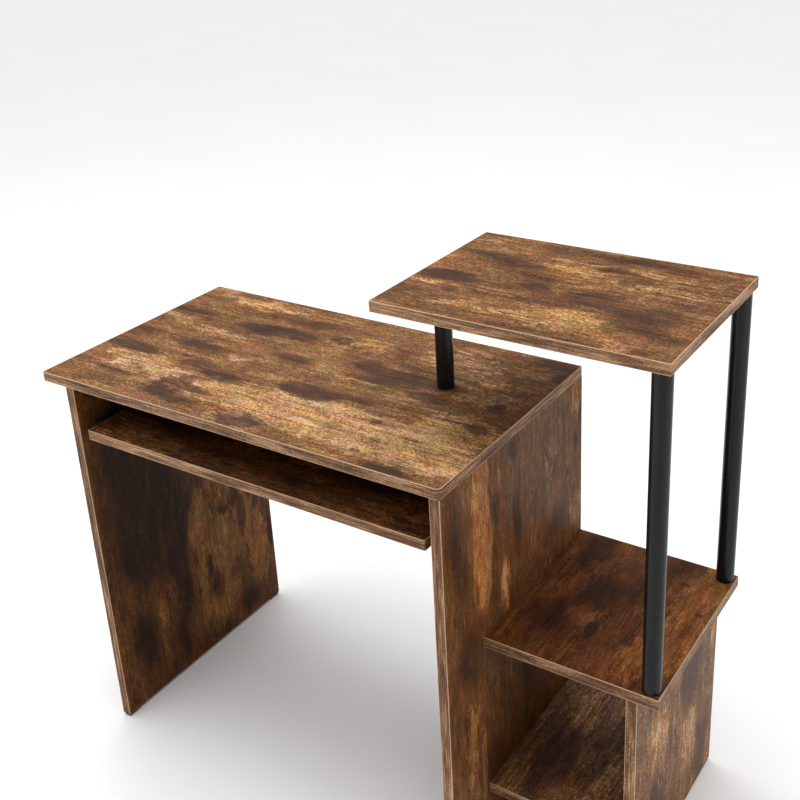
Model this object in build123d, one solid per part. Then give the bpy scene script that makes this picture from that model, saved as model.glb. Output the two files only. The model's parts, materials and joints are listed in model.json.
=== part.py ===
from build123d import *
import os

# Computer desk with a sliding keyboard tray, a lower side shelf and a raised side shelf on tubes.
# Millimetres. Origin at the middle of the footprint, on the floor. +X to the user's right
# (the side with the shelves), -Y towards the user, +Z up.

# ---------------------------------------------------------------- driving dimensions
OVERALL_WIDTH = 1005.0
OVERALL_DEPTH = 410.0
OVERALL_HEIGHT = 853.0
BOARD = 16.0                     # laminated particle board
BAND = 0.6                       # edge band glued round a board
ARRIS = 0.4                      # rounding of a band's long edges
SOFT_CORNER = 2.0                # plan radius of a banded corner
TOP_CORNER = 9.0                 # plan radius of the main top's front right corner
GLIDE_HEIGHT = 5.0

TOP_WIDTH = 742.0
TOP_HEIGHT = 661.0
LEFT_PANEL_INSET = 50.0          # from the top's left end to the panel's outer face

RAISED_WIDTH = 427.0
SHELF_DEPTH = 313.0              # raised shelf and lower shelf alike
LOWER_SHELF_HEIGHT = 368.0
RIGHT_PANEL_INSET = 29.0         # from the lower shelf's right edge to the panel's outer face
BOTTOM_SHELF_HEIGHT = 96.0
BOTTOM_SHELF_RECESS = 5.0
MODESTY_HEIGHT = 200.0

TUBE_RADIUS = 13.3
TUBE_WALL = 2.5
TUBE_SETBACK = 16.0              # tube axis to the shelf edges

TRAY_TOP = 574.0
TRAY_RECESS = 4.5                # tray front behind the panels' front edges
TRAY_DEPTH = 285.5
TRAY_TRAVEL = 220.0
RUNNER_GAP = 12.7                # side space for a roller runner

FIT = 0.05                       # radial room of a fastener or axle in its hole

# ---------------------------------------------------------------- planes worked out from them
LEFT = -OVERALL_WIDTH / 2
RIGHT = OVERALL_WIDTH / 2
FRONT = -OVERALL_DEPTH / 2
BACK = OVERALL_DEPTH / 2

TOP_RIGHT = LEFT + TOP_WIDTH
UNDER_TOP = TOP_HEIGHT - BOARD
LEFT_PANEL = (LEFT + LEFT_PANEL_INSET, LEFT + LEFT_PANEL_INSET + BOARD)
CENTRE_PANEL = (TOP_RIGHT - BOARD, TOP_RIGHT)
RIGHT_PANEL = (RIGHT - RIGHT_PANEL_INSET - BOARD, RIGHT - RIGHT_PANEL_INSET)
SHELF_FRONT = BACK - SHELF_DEPTH
UNDER_LOWER_SHELF = LOWER_SHELF_HEIGHT - BOARD
UNDER_RAISED = OVERALL_HEIGHT - BOARD
RAISED_LEFT = RIGHT - RAISED_WIDTH
TRAY_X = (LEFT_PANEL[1] + RUNNER_GAP, CENTRE_PANEL[0] - RUNNER_GAP)
TRAY_Y = (FRONT + TRAY_RECESS, FRONT + TRAY_RECESS + TRAY_DEPTH)
UNDER_TRAY = TRAY_TOP - BOARD

# Each tube: its axis in plan and the surface that it stands on.
TUBES = {
    "tube_left": (RAISED_LEFT + TUBE_SETBACK, (SHELF_FRONT + BACK) / 2, TOP_HEIGHT),
    "tube_front_right": (RIGHT - TUBE_SETBACK, SHELF_FRONT + TUBE_SETBACK, LOWER_SHELF_HEIGHT),
    "tube_back_right": (RIGHT - TUBE_SETBACK, BACK - TUBE_SETBACK, LOWER_SHELF_HEIGHT),
}

nodes = {}                       # node name to its list of solids
drilled = {}                     # board name to the holes to be cut in it


# ---------------------------------------------------------------- shape helpers
def block(x, y, z):
    """A rectangular solid between pairs of low and high coordinates."""
    middle = [(low + high) / 2 for low, high in (x, y, z)]
    return Pos(*middle) * Box(x[1] - x[0], y[1] - y[0], z[1] - z[0])


def rod(start, direction, begin, end, radius):
    """A round bar along direction, from begin to end measured from start."""
    foot = Vector(*start) + Vector(*direction) * begin
    return Part() + Solid.make_cylinder(radius, end - begin, Plane(origin=foot, z_dir=direction))


def drill(board, *tools):
    drilled.setdefault(board, []).extend(tools)


def add(node, *solids):
    nodes.setdefault(node, []).extend(solids)


def cross_recess(centre, direction, reach, width, depth):
    """A screwdriver's cross cut into a face at centre, whose outward normal is direction."""
    face = Plane(origin=centre, z_dir=direction)
    cross = Rectangle(2 * reach, width) + Rectangle(width, 2 * reach)
    return extrude(face * cross, amount=-depth)


# ---------------------------------------------------------------- boards
def flat_board(name, x, y, z, banded, corner_radii):
    """A level board and the band round its banded sides, with rounded corners between two bands."""
    def plan(x_pair, y_pair, inward):
        shape = Pos(sum(x_pair) / 2, sum(y_pair) / 2, z[0]) * Rectangle(
            x_pair[1] - x_pair[0], y_pair[1] - y_pair[0])
        for (i, j), radius in corner_radii.items():
            corner = shape.vertices().sort_by_distance((x_pair[i], y_pair[j], z[0]))[0]
            shape = fillet(corner, radius - inward)
        return extrude(shape, amount=z[1] - z[0])

    sides = {"left": (0, x[0]), "right": (0, x[1]), "front": (1, y[0]), "back": (1, y[1])}
    raw = [sides[side] for side in sides if side not in banded]
    outer = plan(x, y, 0.0)
    rims = [edge for edge in outer.edges()
            if min(abs(edge.center().Z - level) for level in z) < ARRIS / 2
            and all(abs(tuple(edge.center())[axis] - place) > ARRIS / 2 for axis, place in raw)]
    outer = fillet(rims, ARRIS)
    core_x = (x[0] + BAND * ("left" in banded), x[1] - BAND * ("right" in banded))
    core_y = (y[0] + BAND * ("front" in banded), y[1] - BAND * ("back" in banded))
    core = plan(core_x, core_y, BAND)
    add(name, core)
    add(name + "_edge_band", *(outer - core).solids())


def banded_edge(x, y, z, axis, side):
    """A straight band strip; axis and side say which of its faces looks outward and is rounded."""
    strip = block(x, y, z)
    place = (x, y, z)[axis][side]
    rims = [edge for edge in strip.edges()
            if abs(tuple(edge.center())[axis] - place) < ARRIS / 2 and edge.length > BOARD + ARRIS]
    return fillet(rims, ARRIS)


def upright_panel(name, x, y, z):
    """A panel standing across X, with a band strip down its front and its back edge."""
    add(name, block(x, (y[0] + BAND, y[1] - BAND), z))
    add(name + "_edge_band",
        banded_edge(x, (y[0], y[0] + BAND), z, 1, 0),
        banded_edge(x, (y[1] - BAND, y[1]), z, 1, 1))


def boards():
    all_round = {"left", "right", "front", "back"}
    four_corners = {(i, j): SOFT_CORNER for i in (0, 1) for j in (0, 1)}
    flat_board("main_top", (LEFT, TOP_RIGHT), (FRONT, BACK), (UNDER_TOP, TOP_HEIGHT),
               all_round, {**four_corners, (1, 0): TOP_CORNER})
    flat_board("raised_shelf", (RAISED_LEFT, RIGHT), (SHELF_FRONT, BACK),
               (UNDER_RAISED, OVERALL_HEIGHT), all_round, four_corners)
    flat_board("keyboard_tray", TRAY_X, TRAY_Y, (UNDER_TRAY, TRAY_TOP), all_round, four_corners)
    flat_board("lower_shelf", (TOP_RIGHT, RIGHT), (SHELF_FRONT, BACK),
               (UNDER_LOWER_SHELF, LOWER_SHELF_HEIGHT), {"right", "front", "back"},
               {(1, 0): SOFT_CORNER, (1, 1): SOFT_CORNER})
    flat_board("bottom_shelf", (TOP_RIGHT, RIGHT_PANEL[0]), (SHELF_FRONT + BOTTOM_SHELF_RECESS, BACK),
               (BOTTOM_SHELF_HEIGHT - BOARD, BOTTOM_SHELF_HEIGHT), {"front", "back"}, {})
    upright_panel("left_panel", LEFT_PANEL, (FRONT, BACK), (GLIDE_HEIGHT, UNDER_TOP))
    upright_panel("centre_panel", CENTRE_PANEL, (FRONT, BACK), (GLIDE_HEIGHT, UNDER_TOP))
    upright_panel("right_panel", RIGHT_PANEL, (SHELF_FRONT, BACK), (GLIDE_HEIGHT, UNDER_LOWER_SHELF))
    modesty_x = (LEFT_PANEL[1], CENTRE_PANEL[0])
    modesty_y = (BACK - BOARD, BACK)
    foot = UNDER_TOP - MODESTY_HEIGHT
    add("modesty_panel", block(modesty_x, modesty_y, (foot + BAND, UNDER_TOP)))
    add("modesty_panel_edge_band", banded_edge(modesty_x, modesty_y, (foot, foot + BAND), 2, 0))


# ---------------------------------------------------------------- cam locks and dowels
CAM_RADIUS = 7.4
CAM_REACH = 24.0                 # cam axis from the joint's contact plane
CAM_FLOOR = 4.5                  # cam below the bolt axis
CAM_RECESS = (4.0, 1.4, 2.2)     # screwdriver cross: reach, width, depth
END_ROOM = 0.1                   # hole left past the end of a cam, bolt, dowel or insert
CAM_SLOT = 4.4
CAM_POCKET_RADIUS = 4.4
CAM_POCKET_HALF = 4.0
BOLT_THREAD = (2.5, 11.0)        # radius, length in the face board
BOLT_SHANK = (3.5, 13.0)
BOLT_NECK_RADIUS = 1.75
BOLT_HEAD = (22.2, 25.7)         # along the axis from the contact plane
EDGE_HOLE_RADIUS = 4.0
DOWEL_RADIUS = 4.0
DOWEL_IN_FACE = 11.0
DOWEL_IN_EDGE = 18.0
DOWEL_END_ROOM = 1.0
TOP_CAM_INSETS = (95.0, 70.0)    # from the front and the back edge
TOP_DOWEL_INSETS = (50.0, 35.0)
SHELF_CAM_INSET = 50.0
MODESTY_CAM_INSET = 45.0
MODESTY_DOWEL_INSET = 150.0


def cam_joint(face_board, edge_board, point, into_edge, cam_side):
    """A cam bolt screwed into face_board at point, and the cam in edge_board that grips it."""
    away = Vector(*into_edge) * -1
    add("cam_bolts",
        rod(point, away, 0, BOLT_THREAD[1], BOLT_THREAD[0])
        + rod(point, into_edge, 0, BOLT_SHANK[1], BOLT_SHANK[0])
        + rod(point, into_edge, BOLT_SHANK[1], BOLT_HEAD[0], BOLT_NECK_RADIUS)
        + rod(point, into_edge, *BOLT_HEAD, BOLT_SHANK[0]))
    hub = Vector(*point) + Vector(*into_edge) * CAM_REACH
    face = hub + Vector(*cam_side) * (BOARD / 2)
    cam = rod(hub, cam_side, -CAM_FLOOR, BOARD / 2, CAM_RADIUS)
    cam -= rod(hub, cam_side, -CAM_POCKET_HALF, CAM_POCKET_HALF, CAM_POCKET_RADIUS)
    slot = Plane(origin=hub, x_dir=cam_side, z_dir=away) * Rectangle(CAM_SLOT, CAM_SLOT)
    cam -= extrude(slot, amount=CAM_RADIUS + 1)
    cam -= cross_recess(face, cam_side, *CAM_RECESS)
    add("cam_locks", cam)
    drill(face_board, rod(point, away, 0, BOLT_THREAD[1] + END_ROOM, BOLT_THREAD[0] + FIT))
    drill(edge_board,
          rod(point, into_edge, 0, CAM_REACH, EDGE_HOLE_RADIUS),
          rod(hub, cam_side, -CAM_FLOOR - END_ROOM, BOARD / 2, CAM_RADIUS + END_ROOM))


def dowel_joint(face_board, edge_board, point, into_edge):
    away = Vector(*into_edge) * -1
    add("dowels", rod(point, into_edge, -DOWEL_IN_FACE, DOWEL_IN_EDGE, DOWEL_RADIUS))
    drill(face_board, rod(point, away, 0, DOWEL_IN_FACE + END_ROOM, DOWEL_RADIUS + FIT))
    drill(edge_board,
          rod(point, into_edge, 0, DOWEL_IN_EDGE + DOWEL_END_ROOM, DOWEL_RADIUS + FIT))


def board_joints():
    down, right, left, back = (0, 0, -1), (1, 0, 0), (-1, 0, 0), (0, 1, 0)
    left_x = sum(LEFT_PANEL) / 2
    centre_x = sum(CENTRE_PANEL) / 2
    right_x = sum(RIGHT_PANEL) / 2
    top_cams = (FRONT + TOP_CAM_INSETS[0], BACK - TOP_CAM_INSETS[1])
    top_dowels = (FRONT + TOP_DOWEL_INSETS[0], 0, BACK - TOP_DOWEL_INSETS[1])
    for panel, x, inner in (("left_panel", left_x, right), ("centre_panel", centre_x, left)):
        for y in top_cams:
            cam_joint("main_top", panel, (x, y, UNDER_TOP), down, inner)
        for y in top_dowels:
            dowel_joint("main_top", panel, (x, y, UNDER_TOP), down)

    shelf_z = LOWER_SHELF_HEIGHT - BOARD / 2
    bottom_z = BOTTOM_SHELF_HEIGHT - BOARD / 2
    shelf_cams = (SHELF_FRONT + SHELF_CAM_INSET, BACK - SHELF_CAM_INSET)
    middle_y = (SHELF_FRONT + BACK) / 2
    for y in shelf_cams:
        cam_joint("centre_panel", "lower_shelf", (TOP_RIGHT, y, shelf_z), right, down)
        cam_joint("lower_shelf", "right_panel", (right_x, y, UNDER_LOWER_SHELF), down, left)
        cam_joint("centre_panel", "bottom_shelf", (TOP_RIGHT, y, bottom_z), right, down)
        cam_joint("right_panel", "bottom_shelf", (RIGHT_PANEL[0], y, bottom_z), left, down)
    dowel_joint("centre_panel", "lower_shelf", (TOP_RIGHT, middle_y, shelf_z), right)
    dowel_joint("lower_shelf", "right_panel", (right_x, middle_y, UNDER_LOWER_SHELF), down)
    dowel_joint("centre_panel", "bottom_shelf", (TOP_RIGHT, middle_y, bottom_z), right)
    dowel_joint("right_panel", "bottom_shelf", (RIGHT_PANEL[0], middle_y, bottom_z), left)

    modesty_y = BACK - BOARD / 2
    for panel, x, inward in (("left_panel", LEFT_PANEL[1], right),
                             ("centre_panel", CENTRE_PANEL[0], left)):
        for z in (UNDER_TOP - MODESTY_CAM_INSET, UNDER_TOP - MODESTY_HEIGHT + MODESTY_CAM_INSET):
            cam_joint(panel, "modesty_panel", (x, modesty_y, z), inward, back)
        dowel_joint(panel, "modesty_panel", (x, modesty_y, UNDER_TOP - MODESTY_HEIGHT / 2), inward)
    for x in (TRAY_X[0] + MODESTY_DOWEL_INSET, TRAY_X[1] - MODESTY_DOWEL_INSET):
        dowel_joint("main_top", "modesty_panel", (x, modesty_y, UNDER_TOP), down)


# ---------------------------------------------------------------- tubes and their fastenings
PLUG_LENGTH = 24.0
PLUG_BOTTOM_ROOM = 2.0           # bore left past the end of a bolt or stud
M6_RADIUS = 3.0
INSERT_RADIUS = 5.0
INSERT_LENGTH = 11.0
COUNTERBORE = (7.6, 6.0)         # radius, depth
WASHER = (7.0, 1.2)
BOLT_HEAD_SIZE = (5.2, 3.9)
BOLT_REACH = 18.0                # bolt thread inside the plug
BOLT_RECESS = (3.0, 1.2, 2.0)
STUD_END_ROOM = 1.0


def tubes():
    down = (0, 0, -1)
    up = (0, 0, 1)
    bore = TUBE_RADIUS - TUBE_WALL
    for name, (x, y, floor) in TUBES.items():
        foot = (x, y, floor)
        head = (x, y, UNDER_RAISED)
        height = UNDER_RAISED - floor
        add(name, rod(foot, up, 0, height, TUBE_RADIUS) - rod(foot, up, 0, height, bore))

        plug = rod(foot, up, 0, PLUG_LENGTH, bore - FIT)
        plug -= rod(foot, up, 0, BOLT_REACH + PLUG_BOTTOM_ROOM, M6_RADIUS + FIT)
        add("tube_bottom_plugs", plug)
        cap = rod(head, down, 0, PLUG_LENGTH, bore - FIT)
        cap -= rod(head, down, 0, INSERT_LENGTH + PLUG_BOTTOM_ROOM, M6_RADIUS + FIT)
        add("tube_top_plugs", cap)

        add("tube_studs", rod(head, up, -INSERT_LENGTH, INSERT_LENGTH - STUD_END_ROOM, M6_RADIUS))
        insert = rod(head, up, 0, INSERT_LENGTH, INSERT_RADIUS)
        insert -= rod(head, up, 0, INSERT_LENGTH, M6_RADIUS + FIT)
        add("shelf_inserts", insert)
        drill("raised_shelf", rod(head, up, 0, INSERT_LENGTH + END_ROOM, INSERT_RADIUS + FIT))

        carrier = "main_top" if floor == TOP_HEIGHT else "lower_shelf"
        underside = (x, y, floor - BOARD)
        seat = COUNTERBORE[1]
        drill(carrier,
              rod(underside, up, 0, BOARD, M6_RADIUS + FIT),
              rod(underside, up, 0, seat, COUNTERBORE[0]))
        washer = rod(underside, up, seat - WASHER[1], seat, WASHER[0])
        washer -= rod(underside, up, seat - WASHER[1], seat, M6_RADIUS + FIT)
        add("tube_washers", washer)
        head_top = seat - WASHER[1]
        head_bottom = head_top - BOLT_HEAD_SIZE[1]
        bolt = rod(underside, up, head_bottom, head_top, BOLT_HEAD_SIZE[0])
        bolt += rod(underside, up, head_top, BOARD + BOLT_REACH, M6_RADIUS)
        bolt -= cross_recess((x, y, floor - BOARD + head_bottom), down, *BOLT_RECESS)
        add("tube_bolts", bolt)


# ---------------------------------------------------------------- feet
GLIDE_SETBACK = 14.0
GLIDE_LENGTH = 26.0
GLIDE_CORNER = 3.0
GLIDE_MARGIN = 1.0               # glide's side edges inside the panel's faces
GLIDE_BEVEL = 0.8
NAIL_RADIUS = 1.2
NAIL_LENGTH = 14.0
NAIL_END_ROOM = 0.5


def glide(node, panel, x_pair, y):
    """A plastic glide nailed under a panel's end, a little narrower than the panel."""
    x = sum(x_pair) / 2
    pad = block((x_pair[0] + GLIDE_MARGIN, x_pair[1] - GLIDE_MARGIN),
                (y - GLIDE_LENGTH / 2, y + GLIDE_LENGTH / 2), (0, GLIDE_HEIGHT))
    pad = fillet(pad.edges().filter_by(Axis.Z), GLIDE_CORNER)
    pad = chamfer(pad.faces().sort_by(Axis.Z)[0].edges(), GLIDE_BEVEL)
    foot, up = (x, y, GLIDE_HEIGHT), (0, 0, 1)
    pad += rod(foot, up, -GLIDE_HEIGHT / 2, NAIL_LENGTH, NAIL_RADIUS)
    add(node, pad)
    drill(panel, rod(foot, up, 0, NAIL_LENGTH + NAIL_END_ROOM, NAIL_RADIUS + FIT))


def glides():
    for side, pair, front in (("left", LEFT_PANEL, FRONT), ("centre", CENTRE_PANEL, FRONT),
                              ("right", RIGHT_PANEL, SHELF_FRONT)):
        for y in (front + GLIDE_SETBACK, BACK - GLIDE_SETBACK):
            glide(side + "_glides", side + "_panel", pair, y)


# ---------------------------------------------------------------- keyboard tray runners
STEEL = 1.2
RUNNER_Y = (FRONT + 30.0, FRONT + 330.0)  # set back, so that no metal shows beside the tray's front
CHANNEL_FLOOR = UNDER_TRAY - 0.8          # upper face of the channel's lower flange
CHANNEL_ROOM = 18.0                       # between the channel's flanges
CHANNEL_REACH = 10.9                      # how far the flanges stand off the panel
CHANNEL_LIP = (0.9, 2.5)                  # thickness, height of the lip on the lower flange
CHANNEL_END_WALL = 1.0
FIXED_ROLLER = (7.0, RUNNER_Y[0] + 10.0, CHANNEL_FLOOR + 7.3)      # radius, y, z
TRAY_ROLLER = (8.7, RUNNER_Y[1] - 10.0, CHANNEL_FLOOR + CHANNEL_ROOM / 2)
TRACK_ROOM = 0.3                          # between a roller and its track
FLANGE_UNDERSIDE = FIXED_ROLLER[2] + FIXED_ROLLER[0] + TRACK_ROOM
FLANGE_OUT = 3.9                          # tray flange's free edge from the panel
TRAY_RUNNER_Y = (RUNNER_Y[0] - 2.0, RUNNER_Y[1] - 3.0)
FOOT_FLANGE_END = TRAY_Y[1] - 3.0
TRAY_FLANGE_END = TRAY_ROLLER[1] - TRAY_ROLLER[0] - 1.0
FOOT_FLANGE_IN = 17.0                     # width of the flange under the tray
ROLLER_FIXED_U = (4.0, 9.4)
ROLLER_TRAY_U = (4.2, 9.8)
JOURNAL_RADIUS = 2.5
SPIGOT_RADIUS = 2.0
SHOULDER_RADIUS = 3.6
AXLE_HEAD_RADIUS = 4.2
AXLE_HEAD = 0.8                           # thickness of a rivet head
AXLE_END_ROOM = 0.2
ROLLER_EASE = 0.5
SCREW_RECESS = (2.0, 0.8, 0.9)
SCREW_END_ROOM = 0.5
SCREW_HEAD = (3.4, 1.4)
SCREW_RADIUS = 1.75
SCREW_BITE = 11.0
SCREW_Y = (FRONT + 67.0, FRONT + 170.0, FRONT + 272.0)
STOP_DROP = 1.8
STOP_ROOM = 0.12


def runner(side, panel, panel_face, sign):
    """One pair of runner members; sign is +1 when the tray lies towards +X from the panel."""
    def u(low, high):
        ends = (panel_face + sign * low, panel_face + sign * high)
        return (min(ends), max(ends))

    def along_x(y, z, begin, end, radius):
        return rod((panel_face, y, z), (sign, 0, 0), begin, end, radius)

    roof = CHANNEL_FLOOR + CHANNEL_ROOM
    channel = block(u(0, STEEL), RUNNER_Y, (CHANNEL_FLOOR - STEEL, roof + STEEL))
    channel += block(u(0, CHANNEL_REACH), RUNNER_Y, (CHANNEL_FLOOR - STEEL, CHANNEL_FLOOR))
    channel += block(u(0, CHANNEL_REACH), RUNNER_Y, (roof, roof + STEEL))
    channel += block(u(CHANNEL_REACH - CHANNEL_LIP[0], CHANNEL_REACH), RUNNER_Y,
                     (CHANNEL_FLOOR, CHANNEL_FLOOR + CHANNEL_LIP[1]))
    channel += block(u(0, CHANNEL_REACH), (RUNNER_Y[1] - CHANNEL_END_WALL, RUNNER_Y[1]),
                     (CHANNEL_FLOOR, roof))
    chord = (TRAY_ROLLER[0] ** 2 - (CHANNEL_ROOM / 2 - STOP_DROP) ** 2) ** 0.5
    stop_y = TRAY_ROLLER[1] - TRAY_TRAVEL - chord - STOP_ROOM
    channel += block(u(0, ROLLER_TRAY_U[1]), (stop_y - STEEL, stop_y), (roof - STOP_DROP, roof))

    tray_web = (RUNNER_GAP - STEEL, RUNNER_GAP)
    carriage = block(u(*tray_web), TRAY_RUNNER_Y, (UNDER_TRAY - STEEL, FLANGE_UNDERSIDE + STEEL))
    carriage += block(u(FLANGE_OUT, RUNNER_GAP), (TRAY_RUNNER_Y[0], TRAY_FLANGE_END),
                      (FLANGE_UNDERSIDE, FLANGE_UNDERSIDE + STEEL))
    carriage += block(u(tray_web[0], RUNNER_GAP + FOOT_FLANGE_IN),
                      (TRAY_RUNNER_Y[0], FOOT_FLANGE_END), (UNDER_TRAY - STEEL, UNDER_TRAY))

    radius, y, z = FIXED_ROLLER
    low, high = ROLLER_FIXED_U
    channel -= along_x(y, z, 0, STEEL, SPIGOT_RADIUS + FIT)
    axle = along_x(y, z, 0, STEEL, SPIGOT_RADIUS)
    axle += along_x(y, z, STEEL, low - AXLE_END_ROOM, SHOULDER_RADIUS)
    axle += along_x(y, z, low - AXLE_END_ROOM, high + AXLE_END_ROOM, JOURNAL_RADIUS)
    axle += along_x(y, z, high + AXLE_END_ROOM, high + AXLE_END_ROOM + AXLE_HEAD, AXLE_HEAD_RADIUS)
    add(side + "_fixed_axle", axle)
    add(side + "_fixed_roller", roller(along_x(y, z, low, high, radius),
                                       along_x(y, z, low, high, JOURNAL_RADIUS + FIT)))

    radius, y, z = TRAY_ROLLER
    low, high = ROLLER_TRAY_U
    carriage -= along_x(y, z, *tray_web, SPIGOT_RADIUS + FIT)
    axle = along_x(y, z, low - AXLE_END_ROOM - AXLE_HEAD, low - AXLE_END_ROOM, AXLE_HEAD_RADIUS)
    axle += along_x(y, z, low - AXLE_END_ROOM, high + AXLE_END_ROOM, JOURNAL_RADIUS)
    axle += along_x(y, z, high + AXLE_END_ROOM, tray_web[0], SHOULDER_RADIUS)
    axle += along_x(y, z, tray_web[0], RUNNER_GAP, SPIGOT_RADIUS)
    axle += along_x(y, z, RUNNER_GAP, RUNNER_GAP + AXLE_HEAD, SHOULDER_RADIUS)
    add(side + "_tray_axle", axle)
    add(side + "_tray_roller", roller(along_x(y, z, low, high, radius),
                                      along_x(y, z, low, high, JOURNAL_RADIUS + FIT)))

    level = TRAY_ROLLER[2]
    foot_x = panel_face + sign * (RUNNER_GAP + FOOT_FLANGE_IN / 2)
    for y in SCREW_Y:
        channel -= along_x(y, level, 0, STEEL, SCREW_RADIUS + FIT)
        screw = along_x(y, level, STEEL, STEEL + SCREW_HEAD[1], SCREW_HEAD[0])
        screw += along_x(y, level, -SCREW_BITE, STEEL, SCREW_RADIUS)
        screw -= cross_recess((panel_face + sign * (STEEL + SCREW_HEAD[1]), y, level),
                              (sign, 0, 0), *SCREW_RECESS)
        add("runner_panel_screws", screw)
        drill(panel, along_x(y, level, -SCREW_BITE - SCREW_END_ROOM, 0, SCREW_RADIUS + FIT))

        seat = (foot_x, y, UNDER_TRAY - STEEL)
        up = (0, 0, 1)
        carriage -= rod(seat, up, 0, STEEL, SCREW_RADIUS + FIT)
        screw = rod(seat, up, -SCREW_HEAD[1], 0, SCREW_HEAD[0])
        screw += rod(seat, up, 0, STEEL + SCREW_BITE, SCREW_RADIUS)
        screw -= cross_recess((foot_x, y, UNDER_TRAY - STEEL - SCREW_HEAD[1]), (0, 0, -1),
                              *SCREW_RECESS)
        add("runner_tray_screws", screw)
        drill("keyboard_tray",
              rod(seat, up, STEEL, STEEL + SCREW_BITE + SCREW_END_ROOM, SCREW_RADIUS + FIT))
    add(side + "_fixed_runner", channel)
    add(side + "_tray_runner", carriage)


def roller(disc, bore):
    """A nylon roller with eased rims."""
    rims = disc.edges().filter_by(GeomType.CIRCLE)
    return chamfer(rims, ROLLER_EASE) - bore


# ---------------------------------------------------------------- build and write
boards()
board_joints()
tubes()
glides()
runner("left", "left_panel", LEFT_PANEL[1], 1)
runner("right", "centre_panel", CENTRE_PANEL[0], -1)
for board, holes in drilled.items():
    nodes[board] = [solid - holes for solid in nodes[board]]

os.makedirs("parts", exist_ok=True)
for name, shapes in nodes.items():
    solids = [solid for shape in shapes for solid in shape.solids()]
    body = solids[0] if len(solids) == 1 else Compound(children=solids)
    body.label = name
    export_step(body, "parts/" + name + ".step")
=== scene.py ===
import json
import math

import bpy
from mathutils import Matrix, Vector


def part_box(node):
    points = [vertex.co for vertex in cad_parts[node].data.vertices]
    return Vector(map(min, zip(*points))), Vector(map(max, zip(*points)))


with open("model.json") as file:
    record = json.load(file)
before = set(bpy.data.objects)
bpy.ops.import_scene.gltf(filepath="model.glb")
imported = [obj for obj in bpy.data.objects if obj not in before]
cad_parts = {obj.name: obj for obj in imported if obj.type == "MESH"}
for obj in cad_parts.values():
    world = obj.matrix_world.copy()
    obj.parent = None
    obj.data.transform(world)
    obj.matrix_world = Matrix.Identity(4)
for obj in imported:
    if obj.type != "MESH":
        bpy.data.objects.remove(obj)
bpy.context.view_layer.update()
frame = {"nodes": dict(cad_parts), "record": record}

# Looks of the computer desk with keyboard tray, in metres, in the CAD model's own frame:
# x to the right (the shelves' side), y away from the user, z up from the floor.
# Every visible shape is a CAD node. This script gives each node its material, and adds the floor,
# the lights and the camera.

NODES = frame["nodes"]
MM = 0.001
AXES = {"X": 0, "Y": 1, "Z": 2}
GREY = (0.5, 0.5, 0.5)  # the middle of a colour noise


# ---------------------------------------------------------------- shader helpers

def scaled(values, factor):
    return tuple(factor * value for value in values)


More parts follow.
